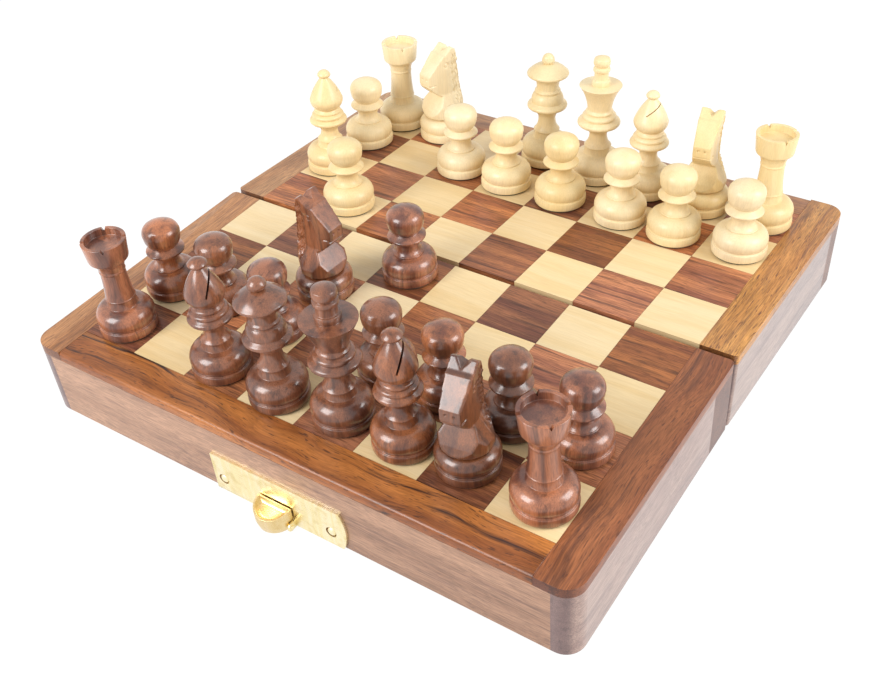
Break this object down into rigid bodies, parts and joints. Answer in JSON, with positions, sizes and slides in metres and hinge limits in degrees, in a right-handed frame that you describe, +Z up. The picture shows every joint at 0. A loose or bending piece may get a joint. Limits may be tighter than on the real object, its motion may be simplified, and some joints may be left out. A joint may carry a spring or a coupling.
{
  "type": "folding magnetic travel chess box",
  "caption": "Folding wooden chess box, laid open as a board, with brass hinges, a brass thumb latch and turned magnetic chess pieces.",
  "frame": {"origin": "middle of the footprint at table level", "axes": "+X along the fold, to the right seen from the latch side; +Y from the latch side to the far side; +Z up"},
  "size_m": [0.1772, 0.1872, 0.0684],
  "materials": {
    "tray_wood": "clear lacquer over rosewood",
    "dark_squares": "clear lacquer over dark rosewood",
    "light_squares": "clear lacquer over boxwood",
    "dark_wood": "polished dark rosewood",
    "light_wood": "polished boxwood",
    "plywood": "plain plywood",
    "felt": "green felt",
    "steel": "plain sheet",
    "brass": "bright stamped brass"
  },
  "bodies": {
    "front_tray": {"front_outer_rail": "tray_wood", "front_hinge_rail": "tray_wood", "front_side_rails": "tray_wood", "front_base_panel": "plywood", "front_felt_lining": "felt", "front_steel_sheet": "steel", "front_border_strips": "tray_wood", "front_dark_squares": "dark_squares", "front_light_squares": "light_squares", "front_hinge_leaves": "brass", "front_hinge_screws": "brass", "front_hinge_pins": "brass", "front_latch_plate": "brass", "front_latch_nails": "brass"},
    "rear_tray": {"rear_outer_rail": "tray_wood", "rear_hinge_rail": "tray_wood", "rear_side_rails": "tray_wood", "rear_base_panel": "plywood", "rear_felt_lining": "felt", "rear_steel_sheet": "steel", "rear_border_strips": "tray_wood", "rear_dark_squares": "dark_squares", "rear_light_squares": "light_squares", "rear_hinge_leaves": "brass", "rear_hinge_screws": "brass", "rear_strike_plate": "brass", "rear_strike_nails": "brass"},
    "latch_tab": {"front_latch_tab": "brass"},
    "dark_rook_left_piece": {"dark_rook_left": "dark_wood"},
    "dark_rook_right_piece": {"dark_rook_right": "dark_wood"},
    "dark_knight_left_piece": {"dark_knight_left": "dark_wood"},
    "dark_knight_right_piece": {"dark_knight_right": "dark_wood"},
    "dark_bishop_left_piece": {"dark_bishop_left": "dark_wood"},
    "dark_bishop_right_piece": {"dark_bishop_right": "dark_wood"},
    "dark_queen_piece": {"dark_queen": "dark_wood"},
    "dark_king_piece": {"dark_king": "dark_wood"},
    "dark_pawn_1_piece": {"dark_pawn_1": "dark_wood"},
    "dark_pawn_2_piece": {"dark_pawn_2": "dark_wood"},
    "dark_pawn_3_piece": {"dark_pawn_3": "dark_wood"},
    "dark_pawn_4_piece": {"dark_pawn_4": "dark_wood"},
    "dark_pawn_5_piece": {"dark_pawn_5": "dark_wood"},
    "dark_pawn_6_piece": {"dark_pawn_6": "dark_wood"},
    "dark_pawn_7_piece": {"dark_pawn_7": "dark_wood"},
    "dark_pawn_8_piece": {"dark_pawn_8": "dark_wood"},
    "light_rook_left_piece": {"light_rook_left": "light_wood"},
    "light_rook_right_piece": {"light_rook_right": "light_wood"},
    "light_knight_left_piece": {"light_knight_left": "light_wood"},
    "light_knight_right_piece": {"light_knight_right": "light_wood"},
    "light_bishop_left_piece": {"light_bishop_left": "light_wood"},
    "light_bishop_right_piece": {"light_bishop_right": "light_wood"},
    "light_queen_piece": {"light_queen": "light_wood"},
    "light_king_piece": {"light_king": "light_wood"},
    "light_pawn_1_piece": {"light_pawn_1": "light_wood"},
    "light_pawn_2_piece": {"light_pawn_2": "light_wood"},
    "light_pawn_3_piece": {"light_pawn_3": "light_wood"},
    "light_pawn_4_piece": {"light_pawn_4": "light_wood"},
    "light_pawn_5_piece": {"light_pawn_5": "light_wood"},
    "light_pawn_6_piece": {"light_pawn_6": "light_wood"},
    "light_pawn_7_piece": {"light_pawn_7": "light_wood"},
    "light_pawn_8_piece": {"light_pawn_8": "light_wood"}
  },
  "joints": [
    {"name": "fold", "type": "hinge", "parent": "front_tray", "child": "rear_tray", "pos_m": [0, 0.0024, 0.0025], "axis": [-1, 0, 0], "range_deg": [-3.44, 176.56]},
    {"name": "latch", "type": "hinge", "parent": "front_tray", "child": "latch_tab", "pos_m": [0, -0.08897, 0.00161], "axis": [1, 0, 0], "range_deg": [0, 90]},
    {"name": "lift_dark_rook_left", "type": "slide", "parent": "front_tray", "child": "dark_rook_left_piece", "axis": [0, -0.03, 0.9995], "range_m": [0, 0.06]},
    {"name": "lift_dark_rook_right", "type": "slide", "parent": "front_tray", "child": "dark_rook_right_piece", "axis": [0, -0.03, 0.9995], "range_m": [0, 0.06]},
    {"name": "lift_dark_knight_left", "type": "slide", "parent": "front_tray", "child": "dark_knight_left_piece", "axis": [0, -0.03, 0.9995], "range_m": [0, 0.06]},
    {"name": "lift_dark_knight_right", "type": "slide", "parent": "front_tray", "child": "dark_knight_right_piece", "axis": [0, -0.03, 0.9995], "range_m": [0, 0.06]},
    {"name": "lift_dark_bishop_left", "type": "slide", "parent": "front_tray", "child": "dark_bishop_left_piece", "axis": [0, -0.03, 0.9995], "range_m": [0, 0.06]},
    {"name": "lift_dark_bishop_right", "type": "slide", "parent": "front_tray", "child": "dark_bishop_right_piece", "axis": [0, -0.03, 0.9995], "range_m": [0, 0.06]},
    {"name": "lift_dark_queen", "type": "slide", "parent": "front_tray", "child": "dark_queen_piece", "axis": [0, -0.03, 0.9995], "range_m": [0, 0.06]},
    {"name": "lift_dark_king", "type": "slide", "parent": "front_tray", "child": "dark_king_piece", "axis": [0, -0.03, 0.9995], "range_m": [0, 0.06]},
    {"name": "lift_dark_pawn_1", "type": "slide", "parent": "front_tray", "child": "dark_pawn_1_piece", "axis": [0, -0.03, 0.9995], "range_m": [0, 0.06]},
    {"name": "lift_dark_pawn_2", "type": "slide", "parent": "front_tray", "child": "dark_pawn_2_piece", "axis": [0, -0.03, 0.9995], "range_m": [0, 0.06]},
    {"name": "lift_dark_pawn_3", "type": "slide", "parent": "front_tray", "child": "dark_pawn_3_piece", "axis": [0, -0.03, 0.9995], "range_m": [0, 0.06]},
    {"name": "lift_dark_pawn_4", "type": "slide", "parent": "front_tray", "child": "dark_pawn_4_piece", "axis": [0, -0.03, 0.9995], "range_m": [0, 0.06]},
    {"name": "lift_dark_pawn_5", "type": "slide", "parent": "front_tray", "child": "dark_pawn_5_piece", "axis": [0, -0.03, 0.9995], "range_m": [0, 0.06]},
    {"name": "lift_dark_pawn_6", "type": "slide", "parent": "front_tray", "child": "dark_pawn_6_piece", "axis": [0, -0.03, 0.9995], "range_m": [0, 0.06]},
    {"name": "lift_dark_pawn_7", "type": "slide", "parent": "front_tray", "child": "dark_pawn_7_piece", "axis": [0, -0.03, 0.9995], "range_m": [0, 0.06]},
    {"name": "lift_dark_pawn_8", "type": "slide", "parent": "front_tray", "child": "dark_pawn_8_piece", "axis": [0, -0.03, 0.9995], "range_m": [0, 0.06]},
    {"name": "lift_light_rook_left", "type": "slide", "parent": "rear_tray", "child": "light_rook_left_piece", "axis": [0, 0.03, 0.9995], "range_m": [0, 0.06]},
    {"name": "lift_light_rook_right", "type": "slide", "parent": "rear_tray", "child": "light_rook_right_piece", "axis": [0, 0.03, 0.9995], "range_m": [0, 0.06]},
    {"name": "lift_light_knight_left", "type": "slide", "parent": "rear_tray", "child": "light_knight_left_piece", "axis": [0, 0.03, 0.9995], "range_m": [0, 0.06]},
    {"name": "lift_light_knight_right", "type": "slide", "parent": "rear_tray", "child": "light_knight_right_piece", "axis": [0, 0.03, 0.9995], "range_m": [0, 0.06]},
    {"name": "lift_light_bishop_left", "type": "slide", "parent": "rear_tray", "child": "light_bishop_left_piece", "axis": [0, 0.03, 0.9995], "range_m": [0, 0.06]},
    {"name": "lift_light_bishop_right", "type": "slide", "parent": "rear_tray", "child": "light_bishop_right_piece", "axis": [0, 0.03, 0.9995], "range_m": [0, 0.06]},
    {"name": "lift_light_queen", "type": "slide", "parent": "rear_tray", "child": "light_queen_piece", "axis": [0, 0.03, 0.9995], "range_m": [0, 0.06]},
    {"name": "lift_light_king", "type": "slide", "parent": "rear_tray", "child": "light_king_piece", "axis": [0, 0.03, 0.9995], "range_m": [0, 0.06]},
    {"name": "lift_light_pawn_1", "type": "slide", "parent": "rear_tray", "child": "light_pawn_1_piece", "axis": [0, 0.03, 0.9995], "range_m": [0, 0.06]},
    {"name": "lift_light_pawn_2", "type": "slide", "parent": "rear_tray", "child": "light_pawn_2_piece", "axis": [0, 0.03, 0.9995], "range_m": [0, 0.06]},
    {"name": "lift_light_pawn_3", "type": "slide", "parent": "rear_tray", "child": "light_pawn_3_piece", "axis": [0, 0.03, 0.9995], "range_m": [0, 0.06]},
    {"name": "lift_light_pawn_4", "type": "slide", "parent": "rear_tray", "child": "light_pawn_4_piece", "axis": [0, 0.03, 0.9995], "range_m": [0, 0.06]},
    {"name": "lift_light_pawn_5", "type": "slide", "parent": "rear_tray", "child": "light_pawn_5_piece", "axis": [0, 0.03, 0.9995], "range_m": [0, 0.06]},
    {"name": "lift_light_pawn_6", "type": "slide", "parent": "rear_tray", "child": "light_pawn_6_piece", "axis": [0, 0.03, 0.9995], "range_m": [0, 0.06]},
    {"name": "lift_light_pawn_7", "type": "slide", "parent": "rear_tray", "child": "light_pawn_7_piece", "axis": [0, 0.03, 0.9995], "range_m": [0, 0.06]},
    {"name": "lift_light_pawn_8", "type": "slide", "parent": "rear_tray", "child": "light_pawn_8_piece", "axis": [0, 0.03, 0.9995], "range_m": [0, 0.06]}
  ]
}
